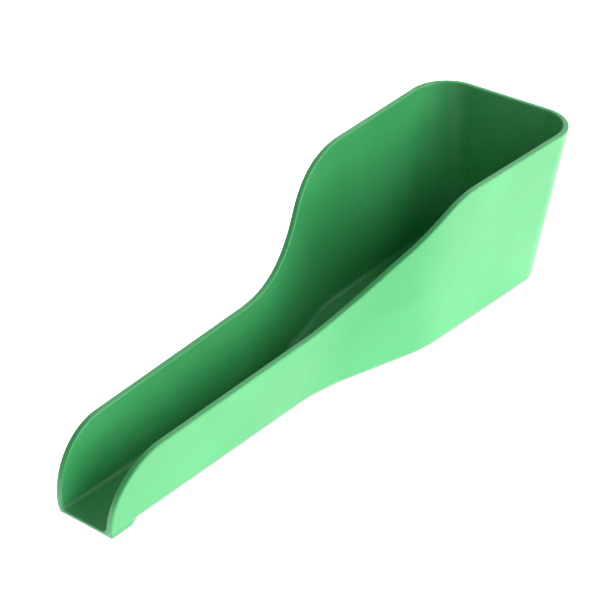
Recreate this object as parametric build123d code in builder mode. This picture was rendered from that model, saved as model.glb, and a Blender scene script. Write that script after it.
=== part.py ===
from build123d import *
from dataclasses import dataclass, fields
import os

# Feed scoop, moulded in one piece: a deep bin at the back narrows into an open pouring chute.
# Millimetres. The scoop lies along X with its mouth at -X, is symmetric about Y = 0 and stands on Z = 0.
# The origin is the middle of the bounding box's underside. Stations are distances back from the mouth.

# Overall sizes, outside.
overall_length = 180.0
bin_width = 52.2  # across the rim where the sides would meet the back wall
bin_height = 48.4  # rim at the back wall
chute_length = 71.5  # from the mouth to where the rim starts to rise
chute_width = 17.6  # across the underside
chute_height = 22.6  # rim where it starts to rise

# Walls and edges.
wall = 1.8
floor_thickness = 1.1
rim_edge_radius = 0.5  # both edges of the rim
underside_radius = 2.0  # outside, where the walls meet the underside
floor_radius = 1.5  # inside, where the walls meet the floor
corner_radius = 12.3  # outside, at the back of the bin

# Side view of the rim.
chute_rim_fall = 2.9  # how far the chute's rim drops on its way to the mouth
mouth_rim_radius = 17.8
mouth_rake = 0.2  # how far the mouth's edge leans back by the height of the rim
rise_length = 57.1  # from the chute's straight rim to the bin's
rise_start_pull = 27.7  # how long the rise keeps the direction of the chute's rim
rise_end_pull = 19.8  # how long the rise keeps the direction of the bin's rim
bin_rim_fall = 1.1  # how far the bin's rim drops on its way forward from the back

# Plan of the walls. They lean outwards from the underside up to the rim, by these amounts on each side.
flare_start = 79.5  # station on the underside where the walls start to spread
flare_length = 35.1  # along the underside
rim_flare_start = 95.6  # the same at the rim's height
rim_flare_length = 13.7
throat_bend = 1.85  # radius outside, where the chute turns into the flare, over the flare's length
shoulder_bend = 1.2  # the same where the flare turns into the bin
bin_side_taper = 2.4  # half width lost along the bin's side, from the back to the shoulder
mouth_lean = 5.6
throat_lean = 7.9
shoulder_lean = 4.9
bin_side_lean = 5.4
bin_back_lean = 6.1

# Pad under the mouth, square where the walls are rounded. Behind it the underside stands off the table.
pad_setback = 0.6  # behind the mouth, clear of the mouth's rounded edge
pad_height = 0.5
pad_length = 10.5
pad_ramp = 3.0  # length of the slope at the pad's back end

# Gate mark: the stub of the sprue, in a shallow dimple that keeps it off the table.
gate_station = 140.0
dimple_diameter = 7.0
dimple_depth = 0.4
stub_diameter = 2.2
stub_height = 0.3
gate_edge_radius = 0.1

overrun = 2.0  # how far a blank runs past the surface that trims it
blank_level = 0.5  # share of the rise below which the blank is level while the throat is rounded
match = 0.01  # how near an edge lies to the line that it is picked by

mouth_x = -overall_length / 2
back_x = overall_length / 2
throat_radius = throat_bend * flare_length
shoulder_radius = shoulder_bend * flare_length
underside_z = pad_height
floor_z = underside_z + floor_thickness

# Side view of the rim, from the mouth back.
mouth_top = Vector(mouth_x + mouth_rake, chute_height - chute_rim_fall)
rise_start = Vector(mouth_x + chute_length, chute_height)
rise_end = Vector(rise_start.X + rise_length, bin_height - bin_rim_fall)
back_top = Vector(back_x, bin_height)
chute_rim = (rise_start - mouth_top).normalized()
bin_rim = (back_top - rise_end).normalized()
rise_start_control = rise_start + chute_rim * rise_start_pull
rise_end_control = rise_end - bin_rim * rise_end_pull
past_back = back_top + bin_rim * overrun

# Upright corners of the walls, counted back from the mouth.
THROAT = 1
SHOULDER = 2
BACK = 3


@dataclass(frozen=True)
class Outline:
    """Outside of the walls at one height: half widths across Y, at stations along X."""

    height: float
    mouth_half: float
    throat_station: float
    throat_half: float
    shoulder_station: float
    shoulder_half: float
    back_station: float
    back_half: float


rim_outline = Outline(
    height=bin_height,
    mouth_half=chute_width / 2 + mouth_lean,
    throat_station=rim_flare_start,
    throat_half=chute_width / 2 + throat_lean,
    shoulder_station=rim_flare_start + rim_flare_length,
    shoulder_half=bin_width / 2 - bin_side_taper,
    back_station=overall_length,
    back_half=bin_width / 2,
)
underside_outline = Outline(
    height=underside_z,
    mouth_half=chute_width / 2,
    throat_station=flare_start,
    throat_half=chute_width / 2,
    shoulder_station=flare_start + flare_length,
    shoulder_half=rim_outline.shoulder_half - shoulder_lean,
    back_station=overall_length - bin_back_lean,
    back_half=rim_outline.back_half - bin_side_lean,
)


def outline_at(height):
    """Outline of the walls at a height, on the straight lines from the underside to the rim."""
    share = (height - underside_outline.height) / (rim_outline.height - underside_outline.height)
    sizes = {}
    for field in fields(Outline):
        low = getattr(underside_outline, field.name)
        high = getattr(rim_outline, field.name)
        sizes[field.name] = low + share * (high - low)
    return Outline(**sizes)


def plan_section(height, inset):
    """Plan of the walls at a height, drawn in by inset and open past the mouth, with sharp corners."""
    outline = outline_at(height)
    mouth_taper = (outline.throat_half - outline.mouth_half) / outline.throat_station
    run_out = overrun + inset
    near_side = [
        (mouth_x - run_out, outline.mouth_half - mouth_taper * run_out),
        (mouth_x + outline.throat_station, outline.throat_half),
        (mouth_x + outline.shoulder_station, outline.shoulder_half),
        (mouth_x + outline.back_station, outline.back_half),
    ]
    far_side = [(x, -y) for x, y in reversed(near_side)]
    with BuildSketch(Plane.XY.offset(height)) as section:
        with BuildLine():
            Polyline(*near_side, *far_side, close=True)
        make_face()
        if inset:
            offset(amount=-inset, kind=Kind.INTERSECTION)
    return section.sketch


def side_section(mouth_radius=0.0):
    """Side view of everything below the rim and behind the mouth, with that radius at the mouth's top."""
    with BuildSketch(Plane.XZ) as section:
        with BuildLine():
            if mouth_radius:
                FilletPolyline((mouth_x, 0), mouth_top, rise_start, radius=mouth_radius)
            else:
                Polyline((mouth_x, 0), mouth_top, rise_start)
            Bezier(rise_start, rise_start_control, rise_end_control, rise_end)
            Polyline(rise_end, past_back, (past_back.X, 0), (mouth_x, 0))
        make_face()
    return section.sketch


def blank_section():
    """Side view filled up level in front of the upper part of the rise, so that the throat ends level."""
    rise = Edge.make_bezier(rise_start, rise_start_control, rise_end_control, rise_end)
    level_end = rise @ blank_level
    with BuildSketch(Plane.XZ) as section:
        with BuildLine():
            Polyline((mouth_x, 0), (mouth_x, level_end.Y), level_end)
            add(rise.trim(blank_level, 1))
            Polyline(rise_end, past_back, (past_back.X, 0), (mouth_x, 0))
        make_face()
    return section.sketch


def rounded_block(bottom, inset, bottom_radius):
    """Solid that fills the walls' outline, drawn in by inset, from bottom up to the rim."""
    low_plan = plan_section(bottom, inset)
    high_plan = plan_section(bin_height + overrun, inset)
    low_corners = low_plan.vertices().group_by(Axis.X)
    high_corners = high_plan.vertices().group_by(Axis.X)

    def round_uprights(block, corner, radius):
        ends = zip(low_corners[corner].sort_by(Axis.Y), high_corners[corner].sort_by(Axis.Y))
        uprights = [Edge.make_line(low, high) for low, high in ends]
        fillet(edges_on(uprights, block), radius=radius)

    with BuildPart() as block:
        loft([low_plan, high_plan], ruled=True)
        extrude(blank_section(), amount=bin_width, both=True, mode=Mode.INTERSECT)
        round_uprights(block, SHOULDER, shoulder_radius - inset)
        round_uprights(block, BACK, corner_radius - inset)
        round_uprights(block, THROAT, throat_radius + inset)
        extrude(side_section(), amount=bin_width, both=True, mode=Mode.INTERSECT)
        lowest = block.edges().group_by(Axis.Z)[0]
        fillet(lowest.sort_by(Axis.X)[1:], radius=bottom_radius)
        mouth_edges = block.edges().filter_by(Axis.Y).sort_by(Axis.X)[:2]
        fillet(mouth_edges.sort_by(Axis.Z)[-1], radius=mouth_rim_radius)
    return block.part


def pad_block(cavity):
    """Pad under the mouth, up to where the walls' rounding ends but clear of the cavity."""
    pad_start = mouth_x + pad_setback
    pad_end = mouth_x + pad_length
    pad_top = underside_z + underside_radius
    with BuildPart() as pad:
        extrude(plan_section(0, 0), amount=pad_top)
        with BuildSketch(Plane.XZ):
            with BuildLine():
                Polyline(
                    (pad_start, 0),
                    (pad_end - pad_ramp, 0),
                    (pad_end, pad_top),
                    (pad_start, pad_top),
                    close=True,
                )
            make_face()
        extrude(amount=bin_width, both=True, mode=Mode.INTERSECT)
        add(cavity, mode=Mode.SUBTRACT)
    return pad.part


def edges_on(lines, block):
    """Edges of block with their middles on one of the lines."""

    def on_a_line(edge):
        middle = Vertex(edge @ 0.5)
        return any(line.distance_to(middle) < match for line in lines)

    return block.edges().filter_by(on_a_line)


def rim_edges(shell):
    """Edges that run along the rim and round the mouth, but not those straight across the wall."""
    rim_line = side_section(mouth_rim_radius).wire()

    def runs_along_rim(edge):
        middle = edge @ 0.5
        crosses_wall = edge.length < 2 * wall and edge.bounding_box().size.Y > edge.length - match
        return not crosses_wall and rim_line.distance_to(Vertex(middle.X, 0, middle.Z)) < match

    return shell.edges().filter_by(runs_along_rim)


cavity = rounded_block(floor_z, wall, floor_radius)

with BuildPart() as scoop_body:
    add(rounded_block(underside_z, 0, underside_radius))
    add(cavity, mode=Mode.SUBTRACT)
    fillet(rim_edges(scoop_body), radius=rim_edge_radius)
    add(pad_block(cavity))

    with BuildSketch(Plane.XY.offset(underside_z)):
        with Locations((mouth_x + gate_station, 0)):
            Circle(dimple_diameter / 2)
    extrude(amount=dimple_depth, mode=Mode.SUBTRACT)
    with BuildSketch(Plane.XY.offset(underside_z + dimple_depth)):
        with Locations((mouth_x + gate_station, 0)):
            Circle(stub_diameter / 2)
    extrude(amount=-stub_height)
    gate_edges = scoop_body.edges().filter_by(GeomType.CIRCLE)
    fillet(gate_edges.filter_by_position(Axis.Z, 0, floor_z), radius=gate_edge_radius)

os.makedirs("parts", exist_ok=True)
scoop_body.part.label = "scoop_body"
export_step(scoop_body.part, "parts/scoop_body.step")
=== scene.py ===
"""A moulded green feed scoop on a plain pale floor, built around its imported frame."""

import logging
import math
from dataclasses import dataclass
from enum import Enum

import bmesh
import bpy
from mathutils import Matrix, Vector


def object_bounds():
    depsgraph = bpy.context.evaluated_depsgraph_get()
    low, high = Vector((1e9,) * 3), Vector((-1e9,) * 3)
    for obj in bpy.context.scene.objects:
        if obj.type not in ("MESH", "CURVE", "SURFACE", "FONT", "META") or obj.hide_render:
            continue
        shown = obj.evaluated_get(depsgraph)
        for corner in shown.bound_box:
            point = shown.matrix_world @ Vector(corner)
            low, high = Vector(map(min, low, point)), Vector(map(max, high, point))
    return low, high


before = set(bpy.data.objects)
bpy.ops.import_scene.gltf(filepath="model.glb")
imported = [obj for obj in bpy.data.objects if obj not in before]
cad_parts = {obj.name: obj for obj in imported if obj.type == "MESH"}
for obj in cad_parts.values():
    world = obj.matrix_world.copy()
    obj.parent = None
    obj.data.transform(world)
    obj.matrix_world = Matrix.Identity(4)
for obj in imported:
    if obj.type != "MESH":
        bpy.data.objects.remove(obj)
frame_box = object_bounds()

MM = 0.001
WHITE = (1.0, 1.0, 1.0, 1.0)
log = logging.getLogger("feed_scoop")

Colour = tuple[float, float, float]
Point = tuple[float, float, float]
Span = tuple[float, float]
Socket = bpy.types.NodeSocket

# Ranges of values.
SHARE = (0.0, 1.0)
MOST_NOISE = (0.3, 0.7)  # where most of a noise's values lie

# Sockets of a mix node that are used for colours. Their names are shared with its sockets for other types.
MIX_SHARE = 0
MIX_LOW = 6
MIX_HIGH = 7
MIX_RESULT = 2


class Noise(Enum):
    """Scales of unevenness in the plastic, as features per metre along X, Y and Z."""

    CLOUD = (38.0, 38.0, 38.0)
    FLOW = (14.0, 95.0, 95.0)
    GRAIN = (2600.0, 2600.0, 2600.0)
    SCUFF = (60.0, 2400.0, 2400.0)


@dataclass(frozen=True)
class Relief:
    """Fine unevenness of a surface.

    Attributes:
        pattern: Scale of its noise.
        strength: How much of it shows.
        height: Height of its highest points.
    """

    pattern: Noise
    strength: float
    height: float


@dataclass
class NodeBench:
    """Short ways to add shader nodes to one material.

    Attributes:
        tree: Node tree that the nodes go into.
    """

    tree: bpy.types.NodeTree

    def add(self, kind: str, **settings: str) -> bpy.types.Node:
        """Adds one node.

        Args:
            kind: Type of node, without its common prefix.
            settings: Properties to set on it.

        Returns:
            The node.
        """
        node = self.tree.nodes.new(f"ShaderNode{kind}")
        for name, value in settings.items():
            setattr(node, name, value)
        return node

    def link(self, source: Socket, target: Socket) -> None:
        """Links one node's output to another node's input."""
        self.tree.links.new(source, target)

    def place(self) -> Socket:
        """Adds the object's own coordinates.

        Returns:
            The vector socket, in metres.
        """
        return self.add("TexCoord").outputs["Object"]

    def noise(self, pattern: Noise, detail: float) -> Socket:
        """Adds a noise stretched to one of the scales.

        Args:
            pattern: Which unevenness to make.
            detail: Octaves of finer noise on top.

        Returns:
            The factor socket, from 0 to 1.
        """
        stretch = self.add("VectorMath", operation="MULTIPLY")
        stretch.inputs[1].default_value = pattern.value
        self.link(self.place(), stretch.inputs[0])
        texture = self.add("TexNoise")
        texture.inputs["Scale"].default_value = 1.0
        texture.inputs["Detail"].default_value = detail
        self.link(stretch.outputs[0], texture.inputs["Vector"])
        return texture.outputs["Fac"]

    def distance(self, point: Point) -> Socket:
        """Adds the distance to a point of the object.

        Args:
            point: The point, in metres.

        Returns:
            The distance, in metres.
        """
        apart = self.add("VectorMath", operation="DISTANCE")
        self.link(self.place(), apart.inputs[0])
        apart.inputs[1].default_value = point
        return apart.outputs["Value"]

    def remap(self, source: Socket, before: Span, after: Span) -> Socket:
        """Adds a smooth change of range.

        Args:
            source: Value to change.
            before: Range it's taken from.
            after: Range it's brought to.

        Returns:
            The changed value.
        """
        change = self.add("MapRange", interpolation_type="SMOOTHSTEP")
        self.link(source, change.inputs["Value"])
        for socket, value in zip(("From Min", "From Max", "To Min", "To Max"), (*before, *after)):
            change.inputs[socket].default_value = value
        return change.outputs["Result"]

    def combine(self, operation: str, first: Socket, second: Socket) -> Socket:
        """Adds one piece of arithmetic.

        Args:
            operation: Name of the operation.
            first: Its first value.
            second: Its second value.

        Returns:
            The result.
        """
        maths = self.add("Math", operation=operation)
        self.link(first, maths.inputs[0])
        self.link(second, maths.inputs[1])
        return maths.outputs[0]

    def blend(self, share: Socket, low: Colour | Socket, high: Colour) -> Socket:
        """Adds a blend from one colour to another.

        Args:
            share: How much of the second colour there is.
            low: First colour, linear, or the socket that carries it.
            high: Second colour, linear.

        Returns:
            The blended colour.
        """
        mix = self.add("Mix", data_type="RGBA")
        self.link(share, mix.inputs[MIX_SHARE])
        if isinstance(low, tuple):
            mix.inputs[MIX_LOW].default_value = (*low, 1.0)
        else:
            self.link(low, mix.inputs[MIX_LOW])
        mix.inputs[MIX_HIGH].default_value = (*high, 1.0)
        return mix.outputs[MIX_RESULT]


@dataclass(frozen=True)
class MouldedPlastic:
    """Green polypropylene as it leaves the mould: satin, faintly uneven and a little translucent.

    Attributes:
        name: Name of the material.
        deep: Colour where the skin is densest, linear.
        pale: Colour where the skin is thinnest, linear.
        clouds: How much of the pale colour the clouds bring, from least to most.
        flow: What the flow marks multiply the clouds by, from least to most.
        gate: Where the plastic entered the mould.
        blushed: Colour of the pale bloom round the gate.
        bloom_fade: Distances from the gate between which the bloom fades out.
        bloom: How much of the bloom there is at those distances.
        scuffed: Colour of fine wear low down, where feed slides inside and the table rubs outside.
        scuff_edge: Values of the scuffs' noise between which a scuff starts and is full.
        scuff_fade: Heights between which the scuffs fade.
        scuff_wear: How strong the scuffs are at those heights.
        scuff_tint: How much of the scuffed colour a full scuff has.
        scuff_dulling: Roughness that a full scuff adds.
        roughness: Roughness of the satin skin, from smoothest to dullest.
        reliefs: The faint waviness of a cooled wall, then the mould's fine grain on it.
        refraction: Index of refraction.
        coat: Weight of the glossier skin.
        coat_roughness: Roughness of that skin.
        scatter: How much of the light scatters inside.
        scatter_depth: How far it scatters.
    """

    name: str = "green_plastic"
    deep: Colour = (0.043, 0.34, 0.103)
    pale: Colour = (0.062, 0.405, 0.138)
    clouds: Span = (0.15, 0.85)
    flow: Span = (0.55, 1.15)
    gate: Point = (50.0 * MM, 0.0, 0.5 * MM)
    blushed: Colour = (0.13, 0.50, 0.23)
    bloom_fade: Span = (2.0 * MM, 11.0 * MM)
    bloom: Span = (0.45, 0.0)
    scuffed: Colour = (0.10, 0.46, 0.19)
    scuff_edge: Span = (0.56, 0.72)
    scuff_fade: Span = (1.5 * MM, 14.0 * MM)
    scuff_wear: Span = (1.0, 0.12)
    scuff_tint: float = 0.4
    scuff_dulling: float = 0.12
    roughness: Span = (0.37, 0.48)
    reliefs: tuple[Relief, ...] = (
        Relief(Noise.CLOUD, strength=0.5, height=0.12 * MM),
        Relief(Noise.GRAIN, strength=0.35, height=0.012 * MM),
    )
    refraction: float = 1.49
    coat: float = 0.15
    coat_roughness: float = 0.3
    scatter: float = 0.12
    scatter_depth: float = 1.2 * MM

    def build(self) -> bpy.types.Material:
        """Makes the material.

        Returns:
            The finished material.
        """
        material = bpy.data.materials.new(self.name)
        material.use_nodes = True
        shader = material.node_tree.nodes["Principled BSDF"]
        bench = NodeBench(material.node_tree)
        scuffs = self.scuffs(bench)
        bench.link(self.tint(bench, scuffs), shader.inputs["Base Color"])
        bench.link(self.dullness(bench, scuffs), shader.inputs["Roughness"])
        bench.link(self.surface(bench), shader.inputs["Normal"])
        shader.inputs["IOR"].default_value = self.refraction
        shader.inputs["Coat Weight"].default_value = self.coat
        shader.inputs["Coat Roughness"].default_value = self.coat_roughness
        shader.inputs["Subsurface Weight"].default_value = self.scatter
        shader.inputs["Subsurface Scale"].default_value = self.scatter_depth
        return material

    def scuffs(self, bench: NodeBench) -> Socket:
        """Adds fine scuffs along the scoop, which fade out above the floor.

        Args:
            bench: Where the nodes go.

        Returns:
            How scuffed the surface is, from 0 to 1.
        """
        split = bench.add("SeparateXYZ")
        bench.link(bench.place(), split.inputs[0])
        wear = bench.remap(split.outputs["Z"], self.scuff_fade, self.scuff_wear)
        lines = bench.remap(bench.noise(Noise.SCUFF, detail=2.0), self.scuff_edge, SHARE)
        return bench.combine("MULTIPLY", wear, lines)

    def tint(self, bench: NodeBench, scuffs: Socket) -> Socket:
        """Adds the uneven colour, the bloom round the gate and the scuffs' colour.

        Args:
            bench: Where the nodes go.
            scuffs: How scuffed the surface is.

        Returns:
            The colour.
        """
        clouds = bench.remap(bench.noise(Noise.CLOUD, detail=2.0), MOST_NOISE, self.clouds)
        flow = bench.remap(bench.noise(Noise.FLOW, detail=3.0), MOST_NOISE, self.flow)
        resin = bench.blend(bench.combine("MULTIPLY", clouds, flow), self.deep, self.pale)
        bloom = bench.remap(bench.distance(self.gate), self.bloom_fade, self.bloom)
        bloomed = bench.blend(bloom, resin, self.blushed)
        worn = bench.remap(scuffs, SHARE, (0.0, self.scuff_tint))
        return bench.blend(worn, bloomed, self.scuffed)

    def dullness(self, bench: NodeBench, scuffs: Socket) -> Socket:
        """Adds the uneven gloss of the satin skin, duller where it's scuffed.

        Args:
            bench: Where the nodes go.
            scuffs: How scuffed the surface is.

        Returns:
            The roughness.
        """
        satin = bench.remap(bench.noise(Noise.FLOW, detail=2.0), MOST_NOISE, self.roughness)
        dulled = bench.remap(scuffs, SHARE, (0.0, self.scuff_dulling))
        return bench.combine("ADD", satin, dulled)

    def surface(self, bench: NodeBench) -> Socket:
        """Adds the reliefs, each on top of the one before.

        Args:
            bench: Where the nodes go.

        Returns:
            The surface's normal.
        """
        bumps = []
        for relief in self.reliefs:
            bump = bench.add("Bump")
            bump.inputs["Strength"].default_value = relief.strength
            bump.inputs["Distance"].default_value = relief.height
            bench.link(bench.noise(relief.pattern, detail=1.0), bump.inputs["Height"])
            if bumps:
                bench.link(bumps[-1].outputs["Normal"], bump.inputs["Normal"])
            bumps.append(bump)
        return bumps[-1].outputs["Normal"]


@dataclass(frozen=True)
class StudioFloor:
    """Plain pale floor that the scoop rests on.

    Attributes:
        half_width: Half of the floor's side.
        colour: Colour of its paint, linear.
        roughness: Roughness of its paint.
        glow: Light that it gives off, which keeps it pale and lights the scoop from below.
        gap: Gap under the scoop, so that the two never share a surface.
    """

    half_width: float = 2.5
    colour: Colour = (0.9, 0.9, 0.9)
    roughness: float = 0.8
    glow: float = 1.4
    gap: float = 0.02 * MM

    def build(self) -> bpy.types.Object:
        """Makes the floor under the scoop's lowest point.

        Returns:
            The floor's object.
        """
        mesh = bpy.data.meshes.new("floor")
        sheet = bmesh.new()
        bmesh.ops.create_grid(sheet, x_segments=1, y_segments=1, size=self.half_width)
        bmesh.ops.translate(sheet, verts=sheet.verts, vec=(0.0, 0.0, frame_box[0].z - self.gap))
        sheet.to_mesh(mesh)
        sheet.free()
        mesh.materials.append(self.paint())
        floor = bpy.data.objects.new("floor", mesh)
        bpy.context.scene.collection.objects.link(floor)
        return floor

    def paint(self) -> bpy.types.Material:
        """Makes the floor's paint.

        Returns:
            The finished material.
        """
        material = bpy.data.materials.new("floor_paint")
        material.use_nodes = True
        shader = material.node_tree.nodes["Principled BSDF"]
        shader.inputs["Base Color"].default_value = (*self.colour, 1.0)
        shader.inputs["Roughness"].default_value = self.roughness
        shader.inputs["Emission Color"].default_value = (*self.colour, 1.0)
        shader.inputs["Emission Strength"].default_value = self.glow
        return material


def dome_direction(azimuth: float, elevation: float) -> Vector:
    """Direction from the scoop to a point on the dome.

    Args:
        azimuth: Degrees round from -Y, towards -X when negative and +X when positive.
        elevation: Degrees above the horizon.

    Returns:
        A unit vector.
    """
    around = math.radians(azimuth)
    up = math.radians(elevation)
    return Vector((math.sin(around) * math.cos(up), -math.cos(around) * math.cos(up), math.sin(up)))


def hang(name: str, data: bpy.types.ID, aim: Vector, direction: Vector, distance: float) -> bpy.types.Object:
    """Puts a lamp or a camera on a dome, facing its middle.

    Args:
        name: Name of the object.
        data: The lamp or the camera.
        aim: Middle of the dome.
        direction: Where it hangs, seen from the middle.
        distance: How far from the middle it hangs.

    Returns:
        The object.
    """
    hung = bpy.data.objects.new(name, data)
    bpy.context.scene.collection.objects.link(hung)
    hung.location = aim + direction * distance
    hung.rotation_mode = "QUATERNION"
    hung.rotation_quaternion = (-direction).to_track_quat("-Z", "Y")
    return hung


@dataclass(frozen=True)
class StudioLamp:
    """One soft square lamp on a dome round the scoop.

    Attributes:
        name: Name of the lamp.
        azimuth: Degrees round the dome.
        elevation: Degrees up the dome.
        distance: Distance from the scoop's middle.
        size: Side of the lamp.
        power: Its power in watts.
    """

    name: str
    azimuth: float
    elevation: float
    distance: float
    size: float
    power: float

    def build(self) -> bpy.types.Object:
        """Makes the lamp, aimed at the scoop's middle.

        Returns:
            The lamp's object.
        """
        data = bpy.data.lights.new(self.name, "AREA")
        data.size = self.size
        data.energy = self.power
        middle = (frame_box[0] + frame_box[1]) / 2
        return hang(self.name, data, middle, dome_direction(self.azimuth, self.elevation), self.distance)


@dataclass(frozen=True)
class StudioCamera:
    """Camera that looks down at the mouth from its near side.

    Attributes:
        azimuth: Degrees round the dome.
        elevation: Degrees up the dome.
        distance: Distance from the point that it aims at.
        aim: That point's X, Y and Z.
        lens: Focal length, in millimetres.
        sensor: Width of the sensor, in millimetres.
        clip: Nearest and farthest distance that it sees.
    """

    azimuth: float = -51.13
    elevation: float = 31.15
    distance: float = 511.4 * MM
    aim: Point = (0.06 * MM, 5.87 * MM, 19.02 * MM)
    lens: float = 114.2
    sensor: float = 36.0
    clip: Span = (0.01, 20.0)

    def build(self) -> bpy.types.Object:
        """Makes the camera and hands it to the scene.

        Returns:
            The camera's object.
        """
        data = bpy.data.cameras.new("camera")
        data.sensor_width = self.sensor
        data.lens = self.lens
        data.clip_start, data.clip_end = self.clip
        direction = dome_direction(self.azimuth, self.elevation)
        camera = hang("camera", data, Vector(self.aim), direction, self.distance)
        bpy.context.scene.camera = camera
        return camera


@dataclass(frozen=True)
class Studio:
    """Floor, lamps, sky and camera.

    Attributes:
        sky: Strength of the white sky.
        floor: The floor.
        lamps: The lamps.
        camera: The camera.
    """

    sky: float = 0.28
    floor: StudioFloor = StudioFloor()
    lamps: tuple[StudioLamp, ...] = (
        StudioLamp("key_lamp", azimuth=12.0, elevation=27.0, distance=1.2, size=0.8, power=12.0),
        StudioLamp("edge_lamp", azimuth=53.0, elevation=33.0, distance=1.2, size=0.6, power=3.6),
        StudioLamp("far_lamp", azimuth=129.0, elevation=31.0, distance=1.3, size=1.2, power=5.0),
    )
    camera: StudioCamera = StudioCamera()

    def build(self) -> None:
        """Sets up everything that isn't the scoop."""
        self.floor.build()
        for lamp in self.lamps:
            lamp.build()
        world = bpy.data.worlds.new("studio_sky")
        world.use_nodes = True
        background = world.node_tree.nodes["Background"]
        background.inputs["Color"].default_value = WHITE
        background.inputs["Strength"].default_value = self.sky
        bpy.context.scene.world = world
        bpy.context.scene.view_settings.view_transform = "Standard"
        self.camera.build()


@dataclass(frozen=True)
class FeedScoop:
    """The scoop: one moulding, with its bin, throat, chute and mouth in one wall.

    Attributes:
        node: Name of the moulding in the frame.
        plastic: Its finish.
    """

    node: str = "scoop_body"
    plastic: MouldedPlastic = MouldedPlastic()

    def dress(self) -> bpy.types.Object:
        """Gives the moulding its plastic.

        Returns:
            The scoop's object.
        """
        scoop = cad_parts[self.node]
        material = self.plastic.build()
        for place in scoop.material_slots:
            place.material = material
        return scoop


def main() -> None:
    """Builds the scoop and its studio, and reports each."""
    logging.basicConfig(level=logging.INFO, format="%(name)s: %(message)s")
    scoop = FeedScoop().dress()
    finish = scoop.material_slots[0].material
    log.info("%s: %d triangles, finish %s", scoop.name, len(scoop.data.polygons), finish.name)
    studio = Studio()
    studio.build()
    log.info("studio: floor, %d lamps, sky and camera", len(studio.lamps))


if __name__ == "__main__":
    main()
